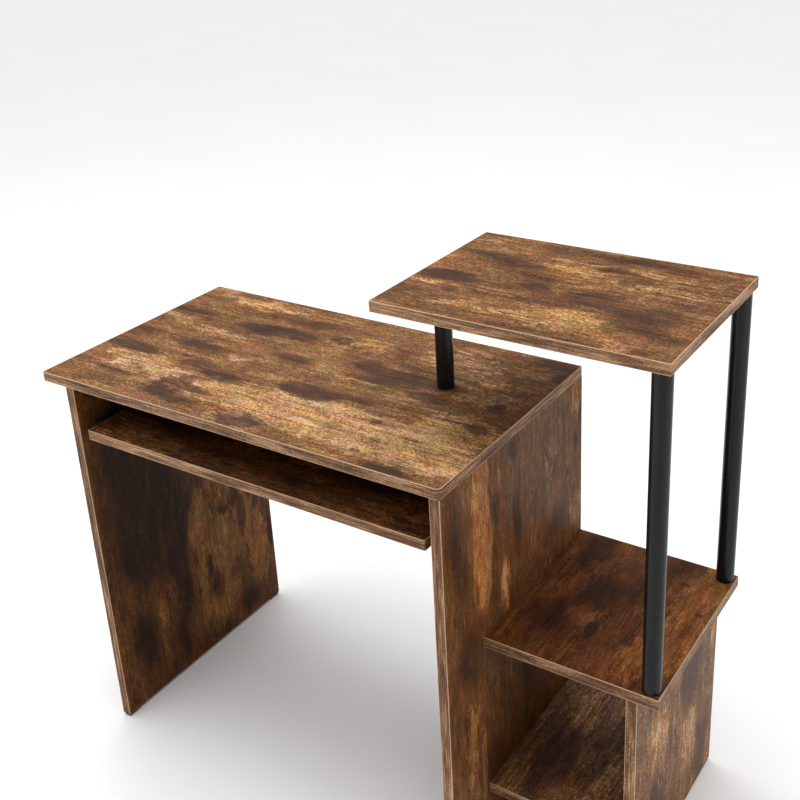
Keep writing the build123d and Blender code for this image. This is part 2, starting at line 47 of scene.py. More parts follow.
class Graph:
    """Short names for building the nodes of one material."""

    def __init__(self, name):
        self.material = bpy.data.materials.new(name)
        self.material.use_nodes = True
        self.tree = self.material.node_tree
        self.tree.nodes.clear()
        self.place = self.node("TexCoord").outputs["Object"]

    def feed(self, socket, value):
        """Links a socket to an input, or sets the input to a plain value."""
        if isinstance(value, bpy.types.NodeSocket):
            self.tree.links.new(value, socket)
        elif value is not None:
            socket.default_value = value

    def node(self, kind, sockets=None, **settings):
        made = self.tree.nodes.new("ShaderNode" + kind)
        for key, value in settings.items():
            setattr(made, key, value)
        for key, value in (sockets or {}).items():
            self.feed(made.inputs[key], value)
        return made

    def math(self, operation, a, b=None, c=None):
        made = self.node("Math", operation=operation)
        for socket, value in zip(made.inputs, (a, b, c)):
            self.feed(socket, value)
        return made.outputs[0]

    def add(self, a, b):
        return self.math("ADD", a, b)

    def times(self, a, b):
        return self.math("MULTIPLY", a, b)

    def linear(self, value, slope, start):
        """value x slope + start."""
        return self.math("MULTIPLY_ADD", value, slope, start)

    def vector(self, operation, a, b=None, c=None):
        made = self.node("VectorMath", operation=operation)
        for socket, value in zip(made.inputs, (a, b, c)):
            self.feed(socket, value)
        return made.outputs["Vector"]

    def parts(self, vector):
        made = self.node("SeparateXYZ", {"Vector": vector})
        return made.outputs[0], made.outputs[1], made.outputs[2]

    def join(self, x, y, z):
        return self.node("CombineXYZ", {"X": x, "Y": y, "Z": z}).outputs[0]

    def noise(self, where, size, detail=2.0, rough=0.5, colour=False):
        """Noise whose features measure size: three numbers in metres, or one for all three."""
        if isinstance(size, float):
            size = (size, size, size)
        sized = self.vector("DIVIDE", where, size)
        made = self.node("TexNoise", {"Vector": sized, "Scale": 1.0, "Detail": detail, "Roughness": rough})
        return made.outputs["Color" if colour else "Fac"]

    def step(self, value, low, high, to_low=0.0, to_high=1.0):
        """A smooth step from to_low, where value is low, to to_high, where value is high."""
        limits = {"Value": value, "From Min": low, "From Max": high, "To Min": to_low, "To Max": to_high}
        return self.node("MapRange", limits, interpolation_type="SMOOTHSTEP").outputs[0]

    def ramp(self, factor, stops):
        made = self.node("ValToRGB", {"Fac": factor})
        elements = made.color_ramp.elements
        while len(elements) < len(stops):
            elements.new(0.5)
        for element, (position, colour) in zip(elements, stops):
            element.position = position
            element.color = (*colour, 1.0)
        return made.outputs["Color"]

    def mix(self, factor, a, b, blend="MIX"):
        """From colour a, at factor 0, to colour b, at factor 1."""
        made = self.node("Mix", data_type="RGBA", blend_type=blend)
        factor_input, a_input, b_input = (made.inputs[index] for index in (0, 6, 7))
        for socket, value in ((factor_input, factor), (a_input, a), (b_input, b)):
            if isinstance(value, tuple):
                value = (*value, 1.0)
            self.feed(socket, value)
        return made.outputs[2]

    def shade(self, factor, colour, filter_colour):
        """colour seen through a filter colour, as far as factor says."""
        return self.mix(factor, colour, filter_colour, "MULTIPLY")

    def centred(self, value, weight, middle=0.5):
        """weight times how far value is from its middle."""
        return self.linear(value, weight, -middle * weight)

    def vary(self, tone, layers):
        """tone plus each layer of (value, middle, weight)."""
        for value, middle, weight in layers:
            tone = self.add(tone, self.centred(value, weight, middle))
        return tone

    def spot(self, where, middle, radii):
        """1 in the middle of an ellipse, falling to 0 at its edge."""
        location = [-m / r for m, r in zip(middle, radii)] + [0.0]
        scale = [1 / r for r in radii] + [0.0]
        moved = self.node("Mapping", {"Vector": where, "Location": location, "Scale": scale})
        gradient = self.node("TexGradient", {"Vector": moved.outputs[0]}, gradient_type="SPHERICAL")
        return gradient.outputs["Fac"]

    def spots(self, where, rows):
        """The sum of ellipses, each (along, across, half length, half width, strength) in millimetres."""
        total = 0.0
        for along, across, long, wide, strength in rows:
            found = self.spot(where, (along * MM, across * MM), (long * MM, wide * MM))
            total = self.linear(found, strength, total)
        return total

    def inset(self, low, high):
        """How far in from the faces of a box this place is, along x, y and z."""
        centre, half = (low + high) / 2, (high - low) / 2
        away = self.vector("ABSOLUTE", self.vector("SUBTRACT", self.place, tuple(centre)))
        return self.parts(self.vector("SUBTRACT", tuple(half), away))

    def nearest_edge(self, low, high):
        """Distance to the nearest edge of a box: the middle one of the three insets."""
        a, b, c = self.inset(low, high)
        smaller, larger = self.math("MINIMUM", a, b), self.math("MAXIMUM", a, b)
        return self.math("MAXIMUM", smaller, self.math("MINIMUM", larger, c))

    def finish(self, colour, roughness, height, depth, **fixed):
        """The surface shader. A height of 1 is a bump of depth metres, and fixed holds plain values."""
        shader = self.node("BsdfPrincipled", {"Base Color": colour, "Roughness": roughness})
        if height is not None:
            bump = self.node("Bump", {"Height": height, "Distance": depth, "Strength": 1.0})
            self.feed(shader.inputs["Normal"], bump.outputs[0])
        for key, value in fixed.items():
            shader.inputs[key.replace("_", " ")].default_value = value
        self.node("OutputMaterial", {"Surface": shader.outputs[0]})
        return self.material


# ---------------------------------------------------------------- printed wood laminate

WOOD = (
    (0.00, (0.022, 0.0095, 0.0045)),
    (0.20, (0.062, 0.026, 0.011)),
    (0.42, (0.134, 0.056, 0.021)),
    (0.62, (0.226, 0.105, 0.040)),
    (0.80, (0.370, 0.198, 0.083)),
    (1.00, (0.660, 0.415, 0.225)),
)
MIDDLE_TONE = 0.53  # where on that ramp a plain stretch of print lies
PURPLE_CORE = (0.058, 0.027, 0.020)
KNOT = (0.020, 0.009, 0.005)  # of knots and cracks
BAR_FILTER = (1.16, 0.94, 0.78)
COOL_FILTER = (0.95, 1.05, 1.30)
LINE_FILTER = (0.34, 0.28, 0.24)
PORE_FILTER = (0.45, 0.38, 0.34)
# The print where its edges are rubbed, also the colour of the painted highlight along the free edges.
RUBBED_PRINT_AND_HIGHLIGHT = (0.50, 0.33, 0.19)
HUE_SPREAD = (1.00, 0.35, 1.80)  # how far red, green and blue wander from patch to patch
HUE_CUT = (3.3, 4.1, 0.0)  # where the hues' noise is taken, away from the other noises

THROUGH_STRETCH = 3.0  # a length through a board counts as this many lengths along its face
DARK_WEIGHT, GOLD_WEIGHT, BAR_WEIGHT = -0.24, 0.19, 0.26
PATCH_BREAKUP = 1.7  # weight of the mottle in the edge of a patch
THREAD_WEIGHT = 0.55
PRINT_BUMP = 0.00012  # metres
KNOT_REACH = 1.6  # a knot fades out this many times its own size from its middle
KNOT_RINGS = 26.0  # radians of ring pattern from its edge to its middle

# How far the slow bend and the fine fray push the print about, along the grain and across it, in
# metres. Knots and cracks are pushed by a share of what the patches are.
PATCH_BEND, PATCH_FRAY = (0.050, 0.026), (0.020, 0.0075)
BAR_BEND, BAR_FRAY = (0.040, 0.010), (0.030, 0.0020)
STREAK_BEND = (0.0, 0.012)
KNOT_SHARE = 0.10

# The noises of the print: the size of their features along the grain, across it and through the
# board, in metres, then their detail and roughness.
PRINT = {
    "bend": ((0.070, 0.030, 0.10), 2.0, 0.50),
    "fray": ((0.011, 0.0042, 0.05), 2.0, 0.60),
    "mottle": ((0.020, 0.0070, 0.10), 4.0, 0.65),
    "clouds": ((0.075, 0.030, 0.20), 3.0, 0.55),
    "bands": ((0.40, 0.020, 0.20), 2.0, 0.50),
    "streaks": ((0.150, 0.0046, 0.20), 4.0, 0.65),
    "combing": ((0.110, 0.045, 0.20), 1.0, 0.50),
    "torn": ((0.050, 0.0022, 0.10), 3.0, 0.60),
    "threads": ((0.016, 0.0013, 0.10), 2.0, 0.60),
    "flecks": ((0.0034, 0.0022, 0.02), 1.0, 0.60),
    "hues": ((0.045, 0.020, 0.20), 3.0, 0.60),
    "breaks": ((0.020, 0.004, 0.10), 2.0, 0.50),
    "lined": ((0.170, 0.085, 0.20), 1.0, 0.50),
    "lines": ((0.085, 0.0016, 0.10), 2.0, 0.50),
    "pores": ((0.0060, 0.00042, 0.01), 1.0, 0.40),
}

# What a board's look may say, and what it is where the board says nothing.
PLAIN = dict(
    depth=1.0,  # contrast of the dark and gold patches
    tint=(1.0, 0.97, 0.92),  # filter over the whole print
    gloss=0.20,  # specular level
    clouds=0.80,  # weight of the broad clouds
    mottle=0.80,  # weight of the mottle
    streaks=0.85,  # weight of the streaks along the grain
    bands=0.0,  # weight of the wide bands along the grain
    grit=1.1,  # weight of the finest flecks
    rim=(0.29, 0.55),  # strengths at which a dark patch begins and is full
    fray=1.0,  # how ragged the edges of the patches are
    core=0.60,  # how purple the middle of a dark patch is
    band=0.50,  # tone of the board's edge band
    cool=(),  # patches where the print turns bluish
    bars=(),  # long light bars with torn edges
)

# Each board's grain axis, the axis across it, its own cut of the print, its tone, and its patches
# and cracks, given as (along, across, half length, half width, strength), in millimetres from
# the board's lowest corner. A knot has no strength.
BOARDS = {
    "main_top": dict(
        grain="X", across="Y", cut=(1.7, 0.4), tone=0.005, depth=1.2, tint=(1.0, 0.97, 0.9), mottle=0.62,
        rim=(0.1, 0.66), fray=1.8, core=0.5,
        cool=[
            (220, 60, 44, 50, 1.4), (380, 22, 60, 38, 1.4), (262, 68, 50, 20, 0.8),
            (60, 145, 70, 20, 0.8), (225, 294, 90, 26, 0.8), (120, 205, 110, 14, 0.8),
        ],
        dark=[
            (219, 61, 33, 40, 2.1), (262, 68, 46, 12, 1.5), (382, 20, 40, 20, 1.7),
            (352, 30, 30, 10, 1.3), (400, 30, 40, 9, 1.2), (645, 6, 50, 16, 1.5), (240, 30, 80, 20, 0.7),
            (100, 62, 100, 10, 0.6), (215, 128, 90, 26, 1.1), (280, 118, 60, 18, 0.8),
            (435, 140, 66, 22, 1.4), (395, 150, 50, 18, 1.0), (500, 152, 50, 14, 0.9),
            (60, 142, 70, 18, 1.5), (30, 150, 50, 18, 1.0), (160, 195, 95, 14, 1.4),
            (20, 202, 50, 16, 0.9), (225, 292, 110, 24, 1.3), (205, 302, 30, 14, 1.0),
            (262, 300, 60, 20, 0.8), (35, 302, 70, 18, 1.2), (325, 226, 60, 18, 1.2),
            (545, 248, 120, 26, 1.1), (505, 225, 80, 22, 0.8), (595, 208, 50, 18, 1.3),
            (452, 258, 46, 26, 0.8), (700, 226, 17, 17, 1.7), (704, 158, 22, 16, 1.6),
            (660, 162, 40, 5, 0.9), (735, 352, 20, 18, 1.3), (270, 345, 90, 30, 0.6),
            (715, 392, 66, 24, 1.3), (350, 312, 30, 14, 0.9), (565, 110, 12, 16, 1.1),
            (480, 330, 50, 12, 0.7),
        ],
        gold=[
            (430, 85, 360, 62, 1.4), (120, 112, 110, 30, 1.7), (118, 84, 100, 24, 1.1),
            (580, 70, 190, 66, 1.6), (680, 142, 80, 54, 2.0), (125, 378, 180, 34, 0.7),
            (560, 350, 120, 60, 0.7), (390, 310, 90, 50, 0.6), (690, 60, 80, 70, 0.8),
            (350, 30, 50, 20, 0.6), (480, 205, 80, 12, 0.8), (130, 250, 110, 26, 0.6),
            # The gold patch at (650, 260) is a painted pool of light: it lifts the print where the raised
            # shelf shades the main top.
            (650, 260, 130, 110, 0.6), (240, 180, 60, 12, 0.8),
        ],
        knots=[(595, 67, 13, 6), (130, 82, 10, 5)],
        cracks=[(610, 182, 140, 1.6, 1.0), (700, 163, 60, 2.0, 1.0), (320, 188, 260, 1.2, 0.4)],
    ),
    "raised_shelf": dict(
        grain="X", across="Y", cut=(3.1, 1.9), tone=-0.04, tint=(1.04, 0.98, 0.84), mottle=0.62,
        rim=(0.18, 0.62), fray=1.5, core=0.3, band=0.62,
        cool=[(40, 131, 70, 30, 1.6), (330, 122, 120, 26, 0.9), (60, 232, 70, 24, 0.7)],
        dark=[
            (310, 128, 140, 26, 1.2), (352, 110, 70, 24, 0.8), (180, 140, 36, 24, 1.5),
            (262, 144, 44, 18, 1.0), (345, 80, 50, 28, 0.8), (48, 131, 62, 22, 1.7),
            (30, 120, 34, 20, 1.2), (70, 83, 20, 14, 1.2), (67, 228, 70, 24, 0.8),
            (120, 208, 80, 26, 0.7), (234, 241, 22, 14, 1.3), (300, 236, 70, 8, 0.7),
            (417, 246, 20, 26, 1.0), (133, 280, 80, 30, 0.6), (290, 288, 110, 26, 1.0),
            (390, 60, 60, 34, 0.6), (385, 12, 24, 16, 1.2), (60, 12, 90, 18, 0.6),
        ],
        gold=[
            (250, 62, 95, 60, 1.2), (190, 236, 70, 40, 1.0), (117, 46, 110, 20, 0.7),
            (33, 283, 70, 34, 0.8), (33, 102, 40, 24, 0.8), (330, 205, 150, 50, 0.6),
            (290, 253, 70, 12, 1.0),
        ],
        knots=[(235, 241, 9, 7), (303, 195, 6, 4)],
        cracks=[(330, 29, 110, 1.8, 1.0), (147, 28, 80, 1.6, 0.8), (350, 236, 90, 1.6, 0.7)],
    ),
    "centre_panel": dict(
        grain="Z", across="Y", cut=(0.6, 5.2), tone=-0.095, tint=(1.03, 0.95, 0.82), gloss=0.12,
        clouds=0.45, streaks=0.35, bands=0.22, grit=0.5, rim=(0.2, 0.62), fray=1.5, core=0.3, band=0.58,
        cool=[(575, 280, 170, 130, 1.5), (470, 380, 90, 60, 0.9)],
        dark=[
            (552, 138, 40, 14, 1.5), (620, 187, 30, 16, 1.4), (500, 200, 90, 20, 0.9),
            (532, 386, 34, 9, 1.3), (580, 403, 26, 9, 1.2), (560, 30, 110, 44, 0.8),
            # The weak dark patch at (385, 240) is partly print and partly painted shadow of the raised shelf.
            (480, 55, 60, 34, 0.6), (385, 240, 40, 100, 0.2), (430, 320, 40, 60, 0.6),
            (350, 60, 90, 60, 0.8), (240, 240, 120, 90, 0.6), (120, 120, 90, 60, 0.9),
        ],
        gold=[
            (430, 158, 46, 16, 0.6), (605, 70, 50, 34, 0.9), (420, 392, 50, 30, 1.2),
            (610, 385, 50, 30, 0.7), (540, 300, 90, 50, 0.5), (390, 165, 60, 10, 0.8),
            (300, 300, 120, 50, 0.8), (180, 330, 90, 40, 1.0), (200, 60, 130, 30, 0.9),
        ],
        bars=[
            (570, 100, 240, 36, 1.0), (480, 110, 90, 26, 0.7), (410, 160, 90, 28, 0.8),
            (600, 150, 90, 8, 0.5), (250, 175, 130, 16, 0.4), (140, 90, 120, 14, 0.8),
        ],
        knots=[(607, 361, 9, 8), (497, 362, 8, 8)],
        cracks=[(560, 400, 60, 1.6, 0.8), (560, 118, 80, 1.4, 0.7)],
    ),
    "left_panel": dict(
        # Its low tone and the broad dark patches at (330, 110) and (480, 90), over the front half, are partly
        # print and partly painted shade under the top and the tray.
        grain="Z", across="Y", cut=(7.3, 2.2), tone=-0.19, depth=1.3, tint=(1.0, 0.88, 0.58), gloss=0.1,
        clouds=0.5, streaks=0.4, bands=0.2, grit=0.5, rim=(0.16, 0.64), fray=1.8, core=0.1, band=0.43,
        dark=[
            (330, 110, 150, 120, 1.6), (480, 90, 140, 120, 1.1), (190, 165, 110, 30, 1.2),
            (262, 286, 16, 16, 1.5), (225, 330, 60, 14, 1.5), (170, 232, 30, 12, 1.5),
            (120, 252, 46, 20, 1.4), (130, 300, 30, 24, 0.9), (150, 402, 44, 16, 1.2),
            (235, 368, 26, 16, 1.0), (110, 60, 130, 44, 0.8), (480, 300, 150, 50, 0.6),
            (40, 330, 36, 50, 0.8), (60, 150, 70, 26, 0.9),
        ],
        gold=[
            (265, 222, 90, 36, 2.0), (190, 282, 120, 60, 1.4), (125, 210, 110, 12, 2.2),
            (210, 350, 100, 50, 1.1), (150, 108, 50, 16, 1.1), (110, 370, 90, 40, 1.2),
            (70, 260, 70, 60, 1.2), (330, 300, 60, 90, 0.9),
        ],
        knots=[(262, 284, 9, 11)],
        cracks=[(190, 205, 90, 1.6, 0.8), (100, 199, 80, 1.6, 0.9)],
    ),
    "lower_shelf": dict(
        # Its low tone and the dark patches near the centre panel are partly print and partly painted shade
        # under the raised shelf.
        grain="Y", across="X", cut=(4.4, 8.1), tone=-0.18, depth=1.1, tint=(1.05, 0.82, 0.56), gloss=0.12,
        clouds=0.6, streaks=0.45, grit=0.6, rim=(0.18, 0.62), fray=1.6, core=0.25,
        dark=[
            (280, 50, 100, 34, 1.1), (173, 100, 66, 34, 1.0), (90, 60, 80, 60, 0.8),
            (90, 124, 40, 12, 1.2), (200, 150, 80, 40, 0.7), (290, 190, 60, 50, 0.6),
        ],
        gold=[
            (112, 98, 46, 40, 0.9), (213, 240, 160, 46, 2.4), (60, 215, 70, 60, 1.2),
            (230, 68, 40, 24, 0.6),
        ],
        knots=[(253, 200, 5, 10), (193, 245, 5, 6)],
        cracks=[(150, 224, 70, 1.5, 0.7)],
    ),
    "keyboard_tray": dict(
        # Its low tone and faint gold patches are partly print and partly painted shade under the main top.
        grain="X", across="Y", cut=(2.6, 6.6), tone=-0.25, tint=(1.0, 0.92, 0.82), gloss=0.15,
        dark=[
            (300, 150, 160, 50, 1.2), (90, 90, 90, 30, 1.0), (500, 90, 130, 34, 1.1),
            (520, 220, 120, 40, 1.0), (120, 230, 100, 30, 1.0), (380, 40, 60, 16, 0.8),
        ],
        gold=[
            (120, 20, 200, 36, 0.9), (330, 90, 160, 34, 0.8), (560, 40, 110, 30, 0.8),
            (230, 220, 120, 34, 0.9),
        ],
        knots=[(410, 180, 11, 6)],
        cracks=[(280, 120, 160, 1.5, 0.8)],
    ),
    "bottom_shelf": dict(
        grain="Y", across="X", cut=(9.2, 3.3), tone=-0.04, rim=(0.18, 0.62), fray=1.6,
        dark=[(90, 60, 110, 44, 1.2), (240, 150, 90, 44, 1.2)],
        gold=[(200, 60, 90, 40, 1.0), (80, 160, 90, 44, 1.1)],
        knots=[(150, 110, 6, 10)],
        cracks=[(170, 40, 90, 1.5, 0.8)],
    ),
    "right_panel": dict(
        grain="Z", across="Y", cut=(6.1, 9.4), tone=-0.02, rim=(0.18, 0.62), fray=1.6,
        dark=[
            (90, 80, 110, 50, 1.2), (250, 200, 100, 50, 1.3), (320, 60, 60, 30, 0.9),
            (60, 260, 80, 40, 1.0),
        ],
        gold=[(200, 90, 110, 50, 1.1), (120, 210, 90, 44, 1.1), (300, 290, 80, 40, 0.8)],
        knots=[(180, 150, 10, 7)],
        cracks=[(140, 130, 100, 1.5, 0.8)],
    ),
    "modesty_panel": dict(
        grain="X", across="Z", cut=(5.5, 0.9), tone=-0.04, rim=(0.18, 0.62), fray=1.6,
        dark=[(120, 130, 150, 40, 1.2), (380, 60, 150, 40, 1.2), (560, 150, 120, 34, 1.1)],
        gold=[(220, 60, 160, 34, 1.1), (460, 130, 150, 34, 1.1), (60, 50, 80, 30, 0.9)],
        knots=[(300, 140, 12, 7)],
        cracks=[(430, 100, 170, 1.5, 0.8)],
    ),
}

# The sides on which a board meets another, where it has neither a band nor an edge to wear.
JOINED = {
    "left_panel": [("Z", 1)],
    "centre_panel": [("Z", 1)],
    "right_panel": [("Z", 1)],
    "lower_shelf": [("X", -1)],
    "bottom_shelf": [("X", -1), ("X", 1)],
    "modesty_panel": [("X", -1), ("X", 1), ("Z", 1)],
}
OUT_OF_REACH = 0.05  # metres, further than any wear comes in from an edge


def free_box(board):
    """The board's box with its joined sides pushed out, so that no wear follows a joint."""
    low, high = (corner.copy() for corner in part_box(board))
    for axis, end in JOINED.get(board, ()):
        corner = low if end < 0 else high
        corner[AXES[axis]] += OUT_OF_REACH * end
    return low, high


def thickness_axis(look):
    return ({"X", "Y", "Z"} - {look["grain"], look["across"]}).pop()


class Laminate:
    """Printed rustic laminate: golden and dark patches, a few of which also paint light and shade, streaks
    along the grain, flecks, knots and cracks.
    """

    def __init__(self, board, look):
        self.board = board
        self.look = {**PLAIN, **look}
        self.g = Graph("laminate_" + board)
        # Places are (along the grain, across it, through the board), first straight, then pushed about.
        self.flat = self.flat_place()
        self.print_place = self.cut_of(self.flat)
        self.bend = self.wander("bend")
        self.fray = self.wander("fray")
        ragged = scaled(PATCH_FRAY, self.look["fray"])
        self.patch_place = self.pushed(self.flat, PATCH_BEND, ragged)
        self.streak_place = self.pushed(self.print_place, STREAK_BEND)
        self.knot_place = self.pushed(self.flat, scaled(PATCH_BEND, KNOT_SHARE), scaled(ragged, KNOT_SHARE))
        self.mottle = self.noise("mottle", self.cut_of(self.patch_place))
        self.threads = self.noise("threads", self.streak_place)
        self.flecks = self.noise("flecks", self.print_place)
        self.pores = self.g.step(self.noise("pores", self.print_place), 0.60, 0.70)

    def noise(self, kind, where, colour=False):
        """One of the noises of the print."""
        size, detail, rough = PRINT[kind]
        return self.g.noise(where, size, detail, rough, colour)

    def wander(self, kind):
        """A sideways push that changes from place to place, of -0.5 to 0.5 each way."""
        return self.g.vector("SUBTRACT", self.noise(kind, self.print_place, colour=True), GREY)

    def pushed(self, where, bend, fray=None):
        """A place pushed by the slow bend and the fine fray, each as far as its two lengths say."""
        g = self.g
        push = g.vector("MULTIPLY", self.bend, (*bend, 0.0))
        if fray:
            push = g.vector("ADD", push, g.vector("MULTIPLY", self.fray, (*fray, 0.0)))
        return g.vector("ADD", where, push)

    def flat_place(self):
        """The place on the board, measured from its lowest corner."""
        g, look = self.g, self.look
        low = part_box(self.board)[0]
        place = dict(zip("XYZ", g.parts(g.vector("SUBTRACT", g.place, tuple(low)))))
        through = g.times(place[thickness_axis(look)], THROUGH_STRETCH)
        return g.join(place[look["grain"]], place[look["across"]], through)

    def cut_of(self, where, through=0.0):
        """The same place on this board's own cut of the endless print."""
        return self.g.vector("ADD", where, (*self.look["cut"], through))

    def patches(self, rows, low, high):
        """1 inside the patches and 0 outside, with an edge broken up by the mottle."""
        g = self.g
        broken = g.centred(self.mottle, PATCH_BREAKUP)
        return g.step(g.add(g.spots(self.patch_place, rows), broken), low, high)

    def torn_bars(self):
        """1 inside the long light bars, whose edges are torn along the grain."""
        g = self.g
        place = self.pushed(self.flat, BAR_BEND, BAR_FRAY)
        bars = g.add(g.spots(place, self.look["bars"]), -0.35)
        return g.step(g.linear(self.noise("torn", self.print_place), 0.7, bars), 0.28, 0.46)

    def streaks(self):
        """Streaks along the grain, stronger in some places than in others."""
        g = self.g
        combed = g.step(self.noise("combing", self.print_place), 0.38, 0.62, 0.35, 1.30)
        return g.linear(g.math("SUBTRACT", self.noise("streaks", self.streak_place), 0.5), combed, 0.5)

    def grit(self, dark):
        """Fine threads and flecks, calmer inside the dark patches."""
        g = self.g
        fine = g.add(g.centred(self.threads, THREAD_WEIGHT), g.centred(self.flecks, self.look["grit"]))
        return g.times(fine, g.linear(dark, -0.45, 1.0))

    def wood(self):
        """The print's colour before its drawn details."""
        g, look = self.g, self.look
        dark = self.patches(look["dark"], *look["rim"])
        gold = self.patches(look["gold"], 0.27, 0.62)
        layers = [
            (dark, 0.0, DARK_WEIGHT * look["depth"]),
            (gold, 0.0, GOLD_WEIGHT * look["depth"]),
            (self.noise("clouds", self.cut_of(self.patch_place, 0.3)), 0.5, look["clouds"]),
            (self.mottle, 0.5, look["mottle"]),
            (self.streaks(), 0.5, look["streaks"]),
            (self.grit(dark), 0.0, 1.0),
        ]
        if look["bands"]:
            layers.append((self.noise("bands", self.streak_place), 0.5, look["bands"]))
        if not look["bars"]:
            return self.hued(self.wood_colour(layers), dark)
        bars = self.torn_bars()
        colour = self.wood_colour(layers + [(bars, 0.0, BAR_WEIGHT)])
        return self.hued(g.shade(g.times(bars, 0.8), colour, BAR_FILTER), dark)

    def wood_colour(self, layers):
        """The wood's colour at the board's tone, varied by the layers."""
        return self.g.ramp(self.g.vary(MIDDLE_TONE + self.look["tone"], layers), WOOD)

    def hued(self, colour, dark):
        """Hues that wander, cool patches, and a purple middle in the dark ones."""
        g, look = self.g, self.look
        hues = self.noise("hues", g.vector("ADD", self.patch_place, HUE_CUT), colour=True)
        hues = g.vector("MULTIPLY_ADD", g.vector("SUBTRACT", hues, GREY), HUE_SPREAD, (1.0, 1.0, 1.0))
        colour = g.shade(1.0, colour, hues)
        if look["cool"]:
            cool = g.math("MINIMUM", g.spots(self.patch_place, look["cool"]), 1.0)
            colour = g.shade(cool, colour, COOL_FILTER)
        core = g.times(dark, g.step(self.mottle, 0.66, 0.40))
        return g.mix(g.times(core, look["core"]), colour, PURPLE_CORE)

    def cracked(self, colour):
        """Long dark cracks, broken here and there."""
        g = self.g
        cracks = g.math("MINIMUM", g.spots(self.knot_place, self.look["cracks"]), 1.0)
        unbroken = g.step(self.noise("breaks", self.print_place), 0.34, 0.56)
        return g.mix(g.times(g.times(g.step(cracks, 0.1, 0.6), unbroken), 0.8), colour, KNOT)

    def knotted(self, colour):
        """Knots: a dark heart in faint rings, paler where there are flecks."""
        g = self.g
        for along, across, long, wide in self.look["knots"]:
            radii = (long * KNOT_REACH * MM, wide * KNOT_REACH * MM)
            found = g.spot(self.knot_place, (along * MM, across * MM), radii)
            rings = g.math("SINE", g.times(found, KNOT_RINGS))
            heart = g.step(g.linear(rings, 0.10, found), 0.15, 0.75)
            colour = g.mix(g.times(heart, g.step(self.flecks, 0.25, 0.55, 0.9, 0.6)), colour, KNOT)
        return colour

    def pored(self, colour):
        """Dark hairlines in some places, and pores everywhere."""
        g = self.g
        where = g.step(self.noise("lined", self.print_place), 0.46, 0.62)
        lines = g.step(self.noise("lines", self.streak_place), 0.56, 0.66)
        colour = g.shade(g.times(g.times(lines, where), 0.75), colour, LINE_FILTER)
        return g.shade(g.times(self.pores, 0.55), colour, PORE_FILTER)

    def worn_and_edge_lit(self, colour):
        """A fine pale line along the board's free edges, partly worn print and partly a painted highlight,
        and rubs that come in from them.
        """
        g = self.g
        edge = g.nearest_edge(*free_box(self.board))
        rubs = g.noise(g.place, 0.009, 3.0, 0.7)
        wear = g.step(g.linear(rubs, -0.0022, edge), -0.0004, -0.0011)
        # The pale line is partly worn print and partly a painted highlight; the rubs are wear.
        line = g.step(edge, 0.0009, 0.0004, 0.0, 0.5)
        return g.mix(g.math("MAXIMUM", line, g.times(wear, 0.6)), colour, RUBBED_PRINT_AND_HIGHLIGHT)

    def material(self):
        """The finished laminate, duller in the pores, with a fine relief along the grain."""
        g = self.g
        colour = self.pored(self.knotted(self.cracked(self.wood())))
        colour = self.worn_and_edge_lit(g.shade(1.0, colour, self.look["tint"]))
        roughness = g.linear(self.pores, 0.12, g.linear(self.threads, 0.16, 0.46))
        height = g.linear(self.pores, -0.6, g.linear(self.threads, 0.35, g.times(self.flecks, 0.2)))
        return g.finish(colour, roughness, height, PRINT_BUMP, Specular_IOR_Level=self.look["gloss"])


# ---------------------------------------------------------------- edge bands

BAND = (
    (0.05, (0.050, 0.018, 0.007)),
    (0.35, (0.120, 0.053, 0.021)),
    (0.60, (0.200, 0.098, 0.044)),
    (0.95, (0.430, 0.255, 0.140)),
)
# Colour of the light cut line on each arris: partly the trimmed edge, partly a painted highlight.
BAND_TRIM_AND_HIGHLIGHT = (0.62, 0.42, 0.25)
RUBBED_BAND = (0.46, 0.30, 0.17)


def edge_band(board, look):
    """Edge band: the same wood, paler, streaked along the edge, with a light cut line on each arris that is
    partly the paler trimmed edge and partly a painted highlight.
    """
    look = {**PLAIN, **look}
    g = Graph("band_" + board)
    low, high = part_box(board + "_edge_band")
    axis = AXES[thickness_axis(look)]
    place = g.vector("ADD", g.place, (*look["cut"], 0.0))

    def streaked(long, thin, detail, rough):
        """Noise that is long along the edge and thin across it."""
        size = [long, long, long]
        size[axis] = thin
        return g.noise(place, tuple(size), detail, rough)

    streaks = streaked(0.060, 0.0024, 3.0, 0.6)
    threads = streaked(0.018, 0.0010, 2.0, 0.6)
    clouds = streaked(0.110, 0.014, 2.0, 0.5)
    flecks = g.noise(place, 0.0019, 1.0, 0.5)
    layers = [(streaks, 0.5, 1.70), (threads, 0.5, 1.10), (clouds, 0.5, 1.50), (flecks, 0.5, 0.90)]
    colour = g.ramp(g.vary(look["band"], layers), BAND)
    arris = g.inset(low, high)[axis]
    # The cut is a light line on each arris, partly the trimmed edge and partly a painted highlight.
    cut = g.times(g.step(arris, 0.0010, 0.0005), g.step(flecks, 0.25, 0.5, 0.55, 0.95))
    colour = g.mix(cut, colour, BAND_TRIM_AND_HIGHLIGHT)
    rubs = g.noise(g.place, 0.010, 3.0, 0.7)
    wear = g.step(g.linear(rubs, -0.0026, g.nearest_edge(low, high)), -0.0005, -0.0014)
    colour = g.mix(g.times(wear, 0.6), colour, RUBBED_BAND)
    roughness = g.linear(threads, 0.16, g.linear(wear, 0.12, 0.42))
    height = g.linear(threads, 0.6, g.times(streaks, 0.4))
    return g.finish(colour, roughness, height, 0.00010, Specular_IOR_Level=0.18)


# ---------------------------------------------------------------- metal and plastic

